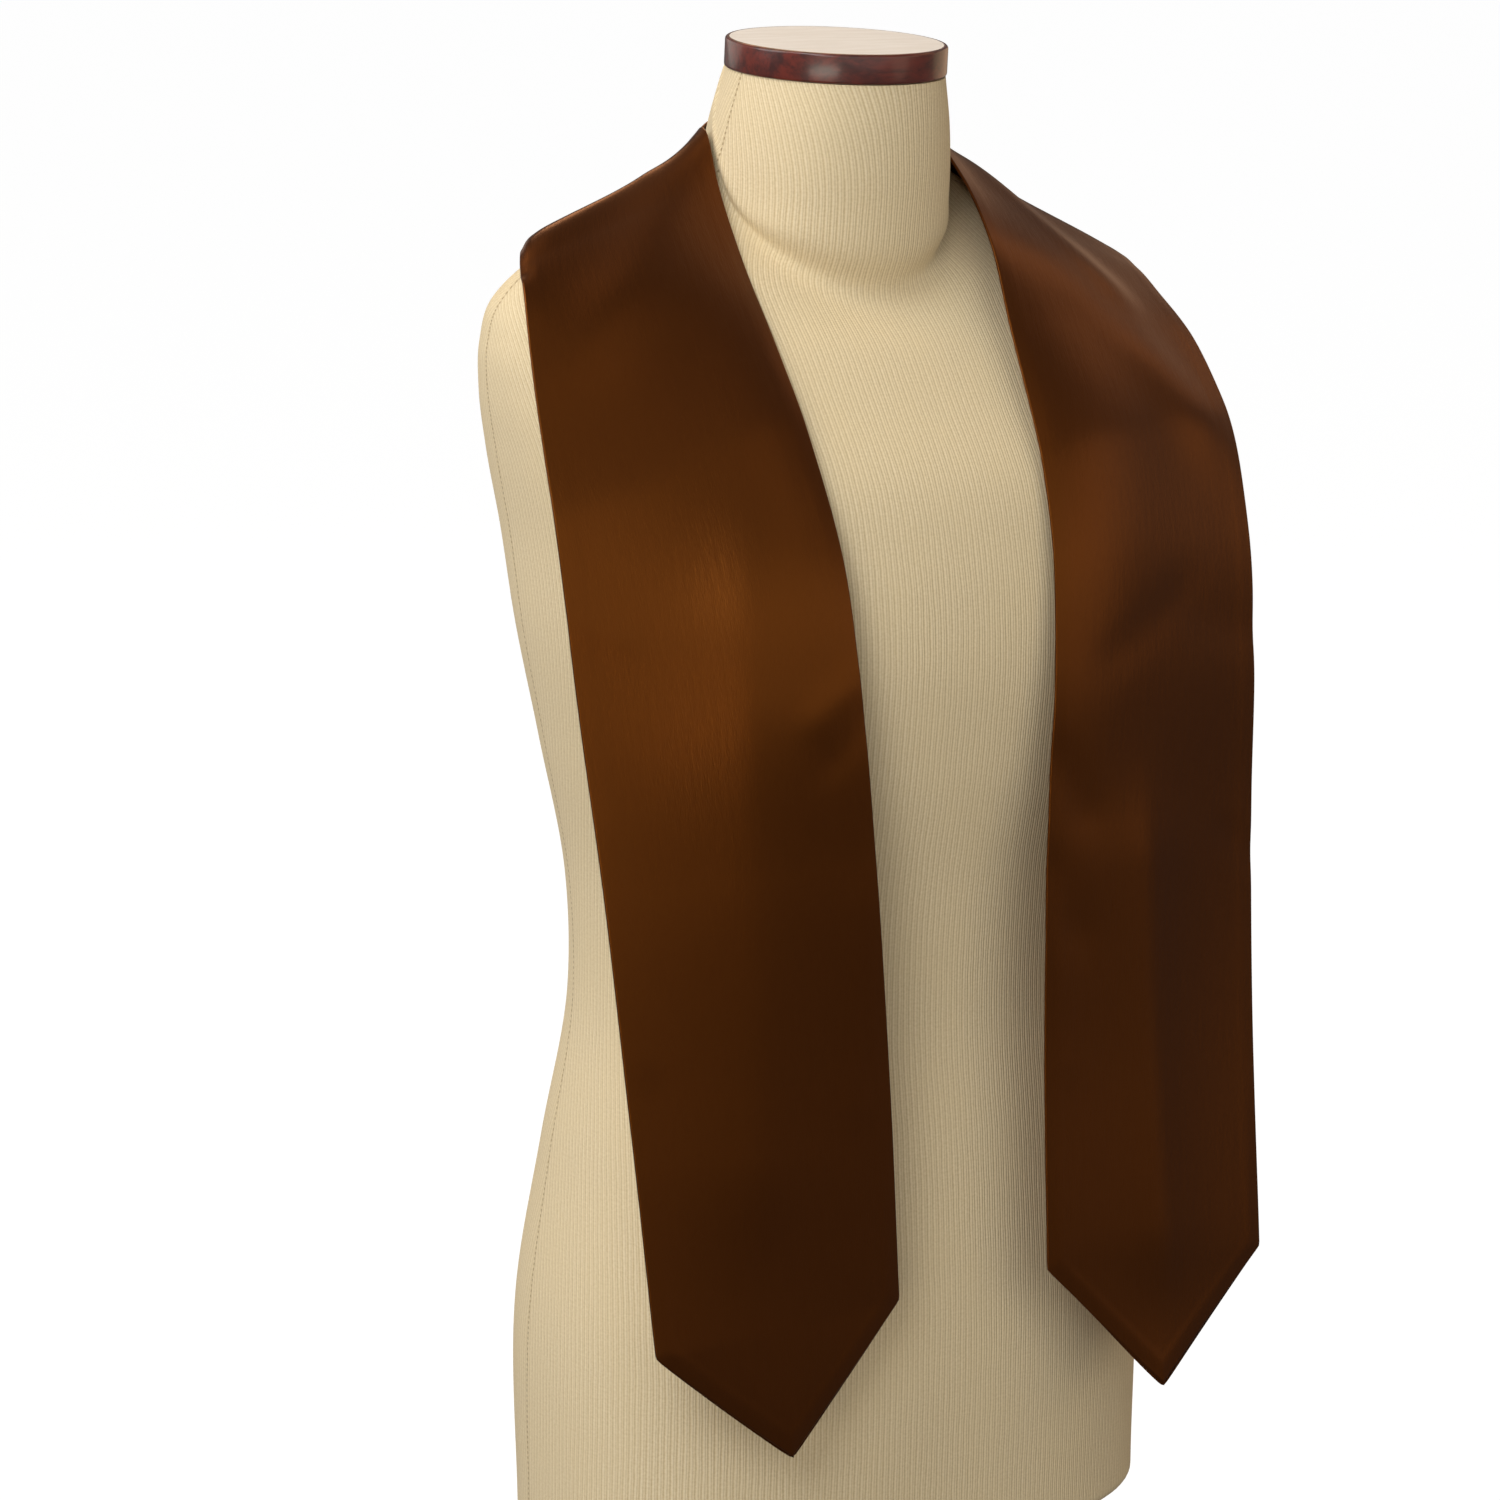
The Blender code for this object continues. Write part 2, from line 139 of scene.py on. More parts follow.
# Lines across each half of the stole, from the corners of its point to the centre-back seam.
SECTION_COLUMNS = "in_x in_y in_drop out_x out_y out_drop crown"
RIGHT_SECTIONS = (
    (-48, -140, 613, -187, -137, 622, 1),  # corners of the point
    (-56, -141, 491, -194, -123, 501, 2),  # waist
    (-66, -144, 385, -200, -110, 394, 3),
    (-74, -142, 296, -205, -95, 304, 5),  # chest
    (-75, -126, 234, -206, -80, 236, 6),
    (-74, -95, 184, -204, -61, 184, 6),  # below the collar bone
    (-72, -57, 138, -200, -42, 143, 6),
    (-70, -22, 100, -194, -25, 112, 4),
    (-68, 3, 68, -189, -13, 100, -1),
    (-63, 22, 45, -182, 1, 93, -6),  # top of the shoulder
    (-56, 42, 48, -164, 28, 97, -7),
    (-45, 55, 46, -143, 59, 104, -6),
    (-29, 65, 42, -106, 90, 138, -1),  # shoulder blade
    (-14, 70, 39, -52, 112, 176, 4),
    (0, 72, 38, 0, 121, 204, 3),  # seam at the centre back
)
LEFT_SECTIONS = (
    (42, -138, 613, 179, -132, 623, 1),
    (43, -131, 495, 180, -120, 502, 2),
    (44, -131, 385, 182, -113, 393, 3),
    (48, -130, 300, 185, -109, 310, 5),
    (52, -120, 243, 188, -98, 252, 6),
    (55, -97, 187, 190, -74, 199, 7),
    (59, -69, 139, 191, -42, 160, 5),
    (64, -42, 98, 186, -18, 139, 1),
    (68, -10, 71, 183, -3, 128, -3),
    (65, 22, 49, 179, 14, 121, -5),
    (56, 42, 47, 164, 36, 121, -5),
    (45, 55, 45, 143, 64, 128, -5),
    (29, 65, 42, 106, 92, 152, -1),
    (14, 70, 39, 52, 112, 182, 4),
    (0, 72, 38, 0, 121, 204, 3),
)
RIGHT_TIP = (-111, -141, 684)
LEFT_TIP = (111, -144, 684)

# Folds: ridges, or troughs where the height is below nothing, along a line. Places are mm up from the
# corners of the point and mm in from the inner edge. A crest of 0 makes a soft wave, and any other a roof
# whose top is rounded to that radius. The first three of each half follow the solids' own.
FOLD_COLUMNS = "from_up from_in to_up to_in width height crest"
RIGHT_FOLDS = (
    (505, 105, 575, 25, 22, 2.5, 0),
    (400, 70, 470, 55, 34, -2.5, 0),
    (90, 74, 340, 52, 30, 3.4, 9),
    (588, 118, 594, 50, 12, 3.0, 4),  # turn over the top of the shoulder
    (562, 140, 604, 140, 5, -2.5, 0),  # the outer edge rolls down there
    (411, 136, 452, 18, 28, 2.0, 9),  # turn at the top of the chest
    (306, 22, 322, 2, 9, 0.7, 0),  # small puckers along both edges
    (284, 16, 300, 0, 9, -0.6, 0),
    (352, 120, 362, 139, 9, 0.7, 0),
    (150, 128, 260, 134, 8, 0.3, 0),
    (110, 18, 205, 8, 10, 0.35, 0),
    (694, 16, 668, 104, 17, 1.9, 5),  # soft folds that spread from the neck over the back
    (652, 30, 628, 118, 15, 1.2, 0),
)
LEFT_FOLDS = (
    (430, 118, 560, 30, 20, 3.0, 0),
    (300, 60, 400, 80, 30, -0.8, 0),
    (20, 72, 205, 64, 26, 3.8, 7),
    (516, 88, 582, 38, 12, 2.0, 0),  # diagonal ridge over the collar bone
    (494, 76, 560, 24, 16, -1.6, 0),  # hollow in front of it
    (420, 14, 436, 130, 28, 2.2, 9),  # turn at the top of the chest
    (318, 42, 342, 82, 13, -0.8, 0),  # dents in the chest and along both edges
    (330, 104, 322, 138, 14, -0.9, 0),
    (262, 4, 240, 20, 12, -0.7, 0),
    (206, 2, 180, 16, 13, -0.7, 0),
    (214, 128, 206, 139, 10, -0.7, 0),
    (110, 12, 190, 8, 9, 0.3, 0),
    (672, 14, 640, 110, 18, 1.8, 6),  # soft folds that spread from the neck over the back
    (700, 60, 690, 128, 14, 1.1, 0),
)

# Level sections of the form: a round neck, and a wide flattened torso.
NECK_COLUMNS = "drop centre_y radius"
NECK = (
    (15.3, 1, 55.0),
    (41, 6, 60.0),
    (60, 10, 62.5),
    (84, 15, 63.5),
    (110, 20, 63.0),
    (150, 26, 58.0),
    (200, 26, 40.0),
    (766, 26, 40.0),
)
TORSO_COLUMNS = "drop centre_y half_width front back square"
TORSO = (
    (15.3, 24, 30, 12, 12, 2.0),
    (48, 24, 55, 14, 18, 2.0),
    (58, 24, 67, 18, 24, 2.0),
    (68, 24, 80, 22, 29, 2.0),
    (78, 24, 98, 26, 33, 2.0),
    (90, 23, 124, 33, 38, 2.1),
    (102, 22, 147, 42, 43, 2.2),
    (114, 21, 166, 52, 50, 2.3),
    (130, 20, 181, 64, 65, 2.4),
    (150, 17, 187, 80, 80, 2.4),
    (175, 14, 187, 97, 93, 2.4),
    (205, 10, 183, 115, 104, 2.4),
    (245, 6, 176, 124, 108, 2.4),
    (290, 3, 170, 126, 107, 2.4),
    (350, 2, 158, 119, 100, 2.4),
    (420, 2, 145, 106, 94, 2.3),
    (480, 3, 143, 103, 95, 2.3),
    (560, 5, 156, 112, 107, 2.3),
    (640, 6, 168, 117, 116, 2.4),
    (766, 5, 170, 112, 112, 2.4),
)

# ---------------------------------------------------------------- colours

WHITE = (1.0, 1.0, 1.0)
SATIN_DARK = (0.016, 0.0043, 0.0012)
SATIN_LIGHT = (0.021, 0.0057, 0.0016)
SATIN_SHEEN = (1.0, 0.295, 0.042)
# The grooves' colours are darker than the ribs': painted shade between the ribs.
SHADED_GROOVE_DARK = (0.63, 0.50, 0.29)  # the jersey between its ribs
SHADED_GROOVE_LIGHT = (0.72, 0.585, 0.36)
RIB_DARK = (0.82, 0.69, 0.45)
RIB_LIGHT = (0.90, 0.78, 0.55)
JERSEY_PATCH = (0.80, 0.66, 0.40)
JERSEY_FUZZ = (1.0, 0.9, 0.72)
# Colour of the stitches, and of painted shade in the seams' grooves.
STITCH_AND_SEAM_SHADE = (0.36, 0.25, 0.12)
STAIN_DARK = (0.050, 0.0105, 0.0085)
STAIN_LIGHT = (0.150, 0.022, 0.0135)
STAIN_STREAK = (0.030, 0.008, 0.007)
# Near-white colours of the cap's top: a painted reflection of an overhead light on the lacquered wood.
CAP_REFLECTION_DARK = (0.80, 0.785, 0.755)
CAP_REFLECTION_LIGHT = (0.88, 0.875, 0.86)
CAP_REFLECTION_SPECK = (0.66, 0.63, 0.59)
FLOOR_GREY = (0.12, 0.12, 0.12)

# ---------------------------------------------------------------- grain and gloss

# Noise over a cloth map: how many to a millimetre across and along, detail and roughness.
THREADS = (1.5, 0.28, 2.0, 0.5)
SLUBS = (0.35, 0.05, 3.0, 0.5)
CLOUDS = (0.02, 0.013, 2.0, 0.5)
RIB_WANDER = (0.08, 0.03, 2.0, 0.5)
YARN = (0.55, 0.8, 3.0, 0.6)
PATCHES = (0.03, 0.02, 2.0, 0.5)
# Noise over the wood: how many to a metre or to a step of the grain, detail and roughness.
GRAIN_WARP = (0.6, 3.0, 0.5)
GRAIN = (2.2, 5.0, 0.62)
GRAIN_STREAK = (9.0, 3.0, 0.7)
CAP_FACE_STREAK = (1.0, 5.0, 0.65)
CAP_FACE_SPECKS = (900.0, 2.0, 0.5)
GRAIN_ACROSS = 70.0  # steps of the grain to a metre
GRAIN_ALONG = 5.0
CAP_FACE_GRAIN = (26.0, 150.0, 60.0)
# Relief: depth in metres, and strength.
THREAD_BUMP = (0.00011, 0.6)
SLUB_BUMP = (0.0003, 0.3)
RIB_BUMP = (0.0003, 0.5)
LACQUER_BUMP = (0.00012, 0.25)
CAP_FACE_BUMP = (0.0001, 0.3)
SATIN_ROUGHNESS = 0.41
THREAD_GLOSS = -0.10  # what the threads add to it

# ---------------------------------------------------------------- shapes


def columns(names, rows):
    """A table's columns by name, each as an array."""
    return dict(zip(names.split(), np.array(rows, float).T))


def stack(table, names):
    """Some columns of a table, side by side."""
    return np.stack([table[name] for name in names.split()], axis=1)


def ease(share):
    """A share from 0 to 1 that starts and ends gently."""
    return share * share * (3 - 2 * share)


def smooth_curve(knots, values, places):
    """Values at the places, on a smooth curve through every row of values at its knot: a cubic between
    each two knots, with the slope of a parabola through each three."""
    steps = np.diff(knots)[:, None]
    slopes = np.diff(values, axis=0) / steps
    tangents = np.empty_like(values)
    tangents[0] = slopes[0]
    tangents[-1] = slopes[-1]
    tangents[1:-1] = (slopes[:-1] * steps[1:] + slopes[1:] * steps[:-1]) / (steps[:-1] + steps[1:])
    spans = np.clip(np.searchsorted(knots, places, side="right") - 1, 0, len(steps) - 1)
    reach = steps[spans]
    part = ((places - knots[spans])[:, None]) / reach
    start = (1 + 2 * part) * (1 - part) ** 2
    end = part**2 * (3 - 2 * part)
    leave = part * (1 - part) ** 2 * reach
    arrive = part**2 * (part - 1) * reach
    return (
        start * values[spans]
        + end * values[spans + 1]
        + leave * tangents[spans]
        + arrive * tangents[spans + 1]
    )


def from_drop(points):
    """Points given as x, y, drop, as x, y, height above the table."""
    return np.asarray(points, float) * (1, 1, -1) + (0, 0, CAP_TOP)


def unit(vectors):
    """The vectors, each made 1 long."""
    return vectors / np.linalg.norm(vectors, axis=-1, keepdims=True)


def grid_normals(grid):
    """The directions square to a grid of points."""
    along = np.gradient(grid, axis=0)
    across = np.gradient(grid, axis=1)
    return unit(np.cross(across, along))


def rotation(degrees, first, second):
    """A matrix that turns one axis towards another."""
    turned = np.eye(3)
    angle = math.radians(degrees)
    turned[first, first] = turned[second, second] = math.cos(angle)
    turned[second, first] = math.sin(angle)
    turned[first, second] = -math.sin(angle)
    return turned


def ring_faces(rings, steps):
    """Four-sided faces between closed rings that have the same number of points."""
    numbers = np.arange(rings * steps).reshape(rings, steps)
    after = np.roll(numbers, -1, axis=1)
    quads = np.stack([numbers[:-1], numbers[1:], after[1:], after[:-1]], axis=-1)
    return quads.reshape(-1, 4)


def add_object(name, points, faces, finishes, smooth_below=40):
    """A mesh from points in millimetres, placed in the scene in metres."""
    mesh = bpy.data.meshes.new(name)
    mesh.from_pydata(np.asarray(points) * MM, [], faces)
    for finish in finishes:
        mesh.materials.append(finish)
    mesh.shade_smooth()
    mesh.set_sharp_from_angle(angle=math.radians(smooth_below))
    made = bpy.data.objects.new(name, mesh)
    bpy.context.scene.collection.objects.link(made)
    return made


def add_map(piece, name, values):
    """A map over the piece's surface, in millimetres, with one value for each corner of its faces."""
    layer = piece.data.uv_layers.new(name=name)
    layer.uv.foreach_set("vector", np.asarray(values, np.float32).ravel())


def clean(piece, join_within=0.0):
    """Drops points that no face uses, joins points that coincide, and turns every face outwards."""
    work = bmesh.new()
    work.from_mesh(piece.data)
    loose = [vertex for vertex in work.verts if not vertex.link_faces]
    bmesh.ops.delete(work, geom=loose, context="VERTS")
    if join_within:
        bmesh.ops.remove_doubles(work, verts=work.verts, dist=join_within)
    bmesh.ops.recalc_face_normals(work, faces=work.faces)
    work.to_mesh(piece.data)
    work.free()


# ---------------------------------------------------------------- materials


class Graph:
    """A short way to write a material's nodes."""

    def __init__(self, name):
        self.material = bpy.data.materials.new(name)
        self.material.use_nodes = True
        self.tree = self.material.node_tree
        self.shader = self.tree.nodes["Principled BSDF"]

    def node(self, kind, inputs=(), **settings):
        made = self.tree.nodes.new("ShaderNode" + kind)
        for key, value in settings.items():
            setattr(made, key, value)
        for key, value in dict(inputs).items():
            self.put(made.inputs[key], value)
        return made

    def put(self, socket, value):
        if isinstance(value, bpy.types.NodeSocket):
            self.tree.links.new(value, socket)
        elif isinstance(value, tuple) and len(value) == 3 and socket.type == "RGBA":
            socket.default_value = (*value, 1.0)
        else:
            socket.default_value = value

    def set(self, **values):
        """Values or links for the shader's own sockets."""
        for key, value in values.items():
            self.put(self.shader.inputs[key.replace("_", " ")], value)

    def math(self, operation, first, second=0.0):
        return self.node("Math", {0: first, 1: second}, operation=operation).outputs[0]

    def times(self, first, second):
        return self.math("MULTIPLY", first, second)

    def plus(self, first, second):
        return self.math("ADD", first, second)

    def minus(self, first, second):
        return self.math("SUBTRACT", first, second)

    def ramp(self, value, low, high):
        """0 below low, 1 above high, and smooth between them."""
        inputs = {"Value": value, "From Min": low, "From Max": high}
        made = self.node("MapRange", inputs, interpolation_type="SMOOTHSTEP")
        return made.outputs["Result"]

    def mix(self, share, first, second):
        """A colour between two: the node's factor and its two colours are its inputs 0, 6 and 7."""
        return self.node("Mix", {0: share, 6: first, 7: second}, data_type="RGBA").outputs[2]

    def cloth_map(self, name):
        """A named map's two numbers, in millimetres."""
        made = self.node("UVMap", uv_map=name)
        split = self.node("SeparateXYZ", {0: made.outputs[0]})
        return split.outputs[0], split.outputs[1]

    def place(self):
        """The place on the object, in metres."""
        return self.node("TexCoord").outputs["Object"]

    def vector(self, x, y, z=0.0):
        return self.node("CombineXYZ", {0: x, 1: y, 2: z}).outputs[0]

    def noise(self, where, scale, detail, roughness):
        inputs = {"Vector": where, "Scale": scale, "Detail": detail, "Roughness": roughness}
        return self.node("TexNoise", inputs).outputs["Fac"]

    def cloth_noise(self, across, along, grain):
        """Noise over a cloth map, from a row of grain."""
        per_across, per_along, detail, roughness = grain
        where = self.vector(self.times(across, per_across), self.times(along, per_along))
        return self.noise(where, 1.0, detail, roughness)

    def bump(self, height, distance, strength, under=None):
        inputs = {"Height": height, "Distance": distance, "Strength": strength}
        if under is not None:
            inputs["Normal"] = under
        return self.node("Bump", inputs).outputs["Normal"]


def satin():
    """Brown satin: fine warp threads that run along the band, with a soft broad sheen of its own hue."""
    g = Graph("stole_satin")
    inward, up = g.cloth_map("cloth")
    threads = g.cloth_noise(inward, up, THREADS)
    slubs = g.cloth_noise(inward, up, SLUBS)
    clouds = g.cloth_noise(inward, up, CLOUDS)
    tone = g.plus(g.times(threads, 0.35), g.times(slubs, 0.35))
    tone = g.plus(tone, g.times(clouds, 0.3))
    colour = g.mix(g.ramp(tone, 0.3, 0.7), SATIN_DARK, SATIN_LIGHT)
    gloss = g.plus(g.times(threads, THREAD_GLOSS), SATIN_ROUGHNESS)
    bump = g.bump(slubs, *SLUB_BUMP, g.bump(threads, *THREAD_BUMP))
    g.set(Base_Color=colour, Roughness=gloss, IOR=1.6, Normal=bump)
    g.set(Specular_IOR_Level=1.0, Specular_Tint=SATIN_SHEEN)
    return g.material


def jersey():
    """Cream ribbed knit: double ribs that run down the form, over uneven fuzzy yarn, and stitched seams. The
    grooves between the ribs and along the seams are darkened as painted shade.
    """
    g = Graph("cream_jersey")
    round_it, down = g.cloth_map("wales")
    wander = g.cloth_noise(round_it, down, RIB_WANDER)
    line = g.plus(round_it, g.times(wander, WALE_WANDER))
    turn = g.times(line, 2 * math.pi / WALE_PITCH)
    twin = g.math("COSINE", g.plus(g.times(turn, 2.0), 0.9))
    wale = g.plus(g.times(g.math("COSINE", turn), 0.45), g.times(twin, 0.55))
    rib = g.ramp(wale, -0.8, 0.5)
    yarn = g.cloth_noise(round_it, down, YARN)
    patch = g.cloth_noise(round_it, down, PATCHES)
    tone = g.ramp(yarn, 0.3, 0.7)
    # Darker colours in the grooves than on the ribs: painted shade between the ribs.
    colour = g.mix(rib, g.mix(tone, SHADED_GROOVE_DARK, SHADED_GROOVE_LIGHT), g.mix(tone, RIB_DARK, RIB_LIGHT))
    colour = g.mix(g.times(g.ramp(patch, 0.3, 0.75), 0.2), colour, JERSEY_PATCH)
    beside, along = g.cloth_map("side_seam")
    seam = g.minus(1.0, g.ramp(beside, 0.3, 1.0))
    dash = g.ramp(g.math("COSINE", g.times(along, 2 * math.pi / STITCH_PITCH)), -0.2, 0.3)
    # The stitches darken in dashes, and the whole seam is darkened a little more as painted shade in its
    # groove.
    stitch_and_shade = g.times(seam, g.plus(g.times(dash, 0.6), 0.2))
    colour = g.mix(stitch_and_shade, colour, STITCH_AND_SEAM_SHADE)
    height = g.minus(g.plus(rib, g.times(yarn, 0.5)), g.times(seam, 1.5))
    g.set(Base_Color=colour, Roughness=0.9, Normal=g.bump(height, *RIB_BUMP), Specular_IOR_Level=0.25)
    g.set(Sheen_Weight=0.15, Sheen_Roughness=0.6, Sheen_Tint=JERSEY_FUZZ)
    return g.material


def cherry(name, along):
    """Dark red stain under gloss lacquer, with the grain along one axis of the object (0, 1 or 2)."""
    g = Graph(name)
    stretch = [GRAIN_ACROSS] * 3
    stretch[along] = GRAIN_ALONG
    where = g.node("Mapping", {"Vector": g.place(), "Scale": tuple(stretch)}).outputs[0]
    warp = g.noise(where, *GRAIN_WARP)
    warped = g.node("VectorMath", {0: where, 1: g.vector(warp, warp, warp)}, operation="ADD").outputs[0]
    grain = g.noise(warped, *GRAIN)
    streak = g.noise(where, *GRAIN_STREAK)
    colour = g.mix(g.ramp(grain, 0.34, 0.68), STAIN_DARK, STAIN_LIGHT)
    colour = g.mix(g.times(g.ramp(streak, 0.5, 0.75), 0.55), colour, STAIN_STREAK)
    g.set(Base_Color=colour, Roughness=0.36, Normal=g.bump(streak, *LACQUER_BUMP))
    g.set(Coat_Weight=0.5, Coat_Roughness=0.16, Coat_IOR=1.45)
    return g.material


def painted_reflection_face():
    """The top face of the neck cap, near white and faintly streaked: a painted reflection of an overhead
    light on its lacquer.
    """
    g = Graph("cap_face")
    where = g.node("Mapping", {"Vector": g.place(), "Scale": CAP_FACE_GRAIN}).outputs[0]
    streak = g.noise(where, *CAP_FACE_STREAK)
    speck = g.noise(g.place(), *CAP_FACE_SPECKS)
    colour = g.mix(g.ramp(streak, 0.35, 0.75), CAP_REFLECTION_DARK, CAP_REFLECTION_LIGHT)
    colour = g.mix(g.times(g.ramp(speck, 0.62, 0.8), 0.4), colour, CAP_REFLECTION_SPECK)
    g.set(Base_Color=colour, Roughness=0.5, Normal=g.bump(streak, *CAP_FACE_BUMP))
    return g.material


def backdrop():
    """The studio's pale ground, bright by itself."""
    g = Graph("floor")
    g.set(Base_Color=FLOOR_GREY, Roughness=0.9, Specular_IOR_Level=0.1)
    g.set(Emission_Color=WHITE, Emission_Strength=FLOOR_GLOW)
    return g.material


# ---------------------------------------------------------------- the stole


def fold_height(folds, up, inward):
    """How far the folds lift the cloth at each place of it."""
    height = np.zeros(np.broadcast(up, inward).shape)
    for row in folds:
        fold = dict(zip(FOLD_COLUMNS.split(), row))
        run = np.array([fold["to_up"] - fold["from_up"], fold["to_in"] - fold["from_in"]], float)
        length = np.linalg.norm(run)
        run /= length
        off_up = up - fold["from_up"]
        off_in = inward - fold["from_in"]
        beside = off_in * run[0] - off_up * run[1]
        forward = off_up * run[0] + off_in * run[1]
        beyond = np.maximum(0, np.maximum(-forward, forward - length))
        fade = np.exp(-((beyond / (FOLD_RUN_OUT * fold["width"])) ** 2))
        if fold["crest"]:
            from_crest = np.sqrt(beside**2 + fold["crest"] ** 2) - fold["crest"]
            profile = np.exp(-from_crest / fold["width"])
        else:
            profile = np.exp(-((beside / fold["width"]) ** 2))
        height += fold["height"] * fade * profile
    return height


def share_columns():
    """Places across the band as shares of its width, close together at the turned edges."""
    edge = np.array(EDGE_COLUMNS)
    inner = np.linspace(edge[-1], STOLE_WIDTH - edge[-1], round((STOLE_WIDTH - 2 * edge[-1]) / CELL) + 1)
    return np.concatenate([edge[:-1], inner, STOLE_WIDTH - edge[-2::-1]]) / STOLE_WIDTH


def half_width_share(up):
    """Half the band's width at a height above the point's corners, as a share of the whole half width,
    with a rounded tip and rounded corners."""
    from_tip = np.maximum((up + POINT_LENGTH) / POINT_LENGTH, 0)
    blunt = 2 * TIP_ROUND / POINT_LENGTH
    slanted = np.sqrt(from_tip * (from_tip + blunt) / (1 + blunt))
    spread = np.sqrt((slanted - 1) ** 2 + CORNER_ROUND**2)
    return (slanted + 1 - spread) / 2


def half_rows(sections, tip):
    """The lines across one half, from its tip to the centre-back seam: each one's inner end, outer end and
    crown, its height above the point's corners, and the seam's height."""
    table = columns(SECTION_COLUMNS, sections)
    inner = from_drop(stack(table, "in_x in_y in_drop"))
    outer = from_drop(stack(table, "out_x out_y out_drop"))
    middle = (inner + outer) / 2
    knots = np.concatenate([[0], np.cumsum(np.linalg.norm(np.diff(middle, axis=0), axis=1))])
    seam_rows = knots[-1] - np.array(EDGE_COLUMNS)[::-1]
    places = np.concatenate([np.arange(0, seam_rows[0] - CELL / 2, CELL), seam_rows])
    band = smooth_curve(knots, np.hstack([inner, outer, stack(table, "crown")]), places)

    # The point: its lines run parallel to the line between the corners and shorten down to the tip.
    down = (np.arange(POINT_ROWS, 0, -1) / POINT_ROWS)[:, None]
    down = 1 - (1 - down) ** POINT_CROWD
    half_line = (band[0, 3:6] - band[0, 0:3]) / 2
    to_tip = from_drop(tip) - middle[0]
    onward = (middle[0] - middle[1]) / knots[1] * POINT_LENGTH
    line_middle = middle[0] + onward * down + (to_tip - onward) * down**2
    point = np.hstack([line_middle - half_line, line_middle + half_line, band[0, 6] * (1 - down)])
    up = np.concatenate([-down[:, 0] * POINT_LENGTH, places])[:, None]
    inner, outer, crown = np.split(np.vstack([point, band]), (3, 6), axis=1)
    return inner, outer, crown, up, knots[-1]


def places_across(up, bow_in):
    """The mesh's places on each line, from 0 at the inner edge to 1 at the outer one, drawn in at the
    point. bow_in is how far the point's inner slant bows inwards."""
    share = share_columns()[None, :]
    inner_part = np.minimum(share * 2, 1)
    outer_part = np.maximum(share * 2 - 1, 0)
    narrowing = half_width_share(up)
    bowed = 1 - bow_in / (STOLE_WIDTH / 2) * np.sin(np.pi * np.clip(-up / POINT_LENGTH, 0, 1))
    return 0.5 - narrowing * bowed * (1 - inner_part) / 2 + narrowing * outer_part / 2


def edge_distance(up, inward, width, seam_up):
    """How far each place of the cloth lies from its nearest edge."""
    half = STOLE_WIDTH / 2
    slant = math.hypot(half, POINT_LENGTH)
    beside = np.minimum(inward, width - inward)
    slanted = (up * half + beside * POINT_LENGTH) / slant
    slanted = np.where(up < STOLE_WIDTH, slanted, STOLE_WIDTH)
    return np.maximum(np.minimum(np.minimum(beside, slanted), seam_up - up), 0)


def cloth_lift(folds, up, place, crown, from_edge, seam_up):
    """How far the cloth stands off the straight lines across it: its crown, which is highest a third of
    the way out, its folds, the dip towards its edges and the step of its hem."""
    bow = 27 / 4 * place * (1 - place) ** 2
    lift = crown * bow + fold_height(folds, up, place * STOLE_WIDTH)
    seam_fade = np.clip((seam_up - up) / SEAM_CALM, 0, 1)
    lift = lift * seam_fade + crown[-1] * bow * (1 - seam_fade)
    at_point = np.clip(1 - up / POINT_FADE, 0, 1)
    pillow = 1 - np.exp(-((from_edge / PILLOW_DEPTH) ** PILLOW_CURVE))
    dip = EDGE_DIP + (POINT_EDGE_DIP - EDGE_DIP) * at_point
    hem = ease(np.clip((HEM_DEPTH + HEM_SLOPE / 2 - from_edge) / HEM_SLOPE, 0, 1))
    hem_lift = HEM_LIFT + (POINT_HEM_LIFT - HEM_LIFT) * at_point
    return lift + (pillow - 1) * dip * seam_fade + hem * hem_lift * seam_fade


def stole_half(name, sections, tip, folds, side, bow_in, finish):
    """One half of the stole as a thin closed shell with turned edges. side is -1 for the wearer's right
    and +1 for the left."""
    inner, outer, crown, up, seam_up = half_rows(sections, tip)
    place = places_across(up, bow_in)
    width = np.linalg.norm(outer - inner, axis=1)[:, None]
    inward = place * width
    from_edge = edge_distance(up, inward, width, seam_up)
    grid = inner[:, None] * (1 - place[..., None]) + outer[:, None] * place[..., None]
    lift = cloth_lift(folds, up, place, crown, from_edge, seam_up)
    grid = grid + grid_normals(grid) * side * lift[..., None]
    normals = grid_normals(grid) * side
    normals[-1, :, 0] = 0
    normals[-1] = unit(normals[-1])

    roll = np.minimum(from_edge / EDGE_ROLL, 1)
    half_thick = CLOTH_THICK / 2 * np.sqrt(1 - (1 - roll) ** 2)
    half_thick[[0, -1]] = 0
    half_thick[:, [0, -1]] = 0
    face = grid + normals * half_thick[..., None]
    back = grid - normals * half_thick[..., None]
    for layer in (face, back):
        layer[..., 0] = side * np.maximum(side * layer[..., 0], GAP / 2)
    return shell(name, face, back, inward, up, side, finish)


def shell(name, face, back, inward, up, side, finish):
    """A closed shell of two grids that share their border, with a map of mm across and along the cloth."""
    rows, count = face.shape[:2]
    numbers = np.arange(rows * count).reshape(rows, count)
    quads = np.stack([numbers[:-1, :-1], numbers[:-1, 1:], numbers[1:, 1:], numbers[1:, :-1]], axis=-1)
    quads = quads.reshape(-1, 4)
    under = numbers + rows * count
    border = np.zeros((rows, count), bool)
    border[[0, -1]] = border[:, [0, -1]] = True
    under[border] = numbers[border]
    faces = np.concatenate([quads, under.ravel()[quads][:, ::-1]])
    if side > 0:
        faces = faces[:, ::-1]
    points = np.concatenate([face.reshape(-1, 3), back.reshape(-1, 3)])
    made = add_object(name, points, faces.tolist(), [finish], smooth_below=75)
    places = np.stack(np.broadcast_arrays(inward, up), axis=-1).reshape(-1, 2)
    add_map(made, "cloth", np.concatenate([places, places])[faces.ravel()])
    clean(made)
    return made


# ---------------------------------------------------------------- the dress form


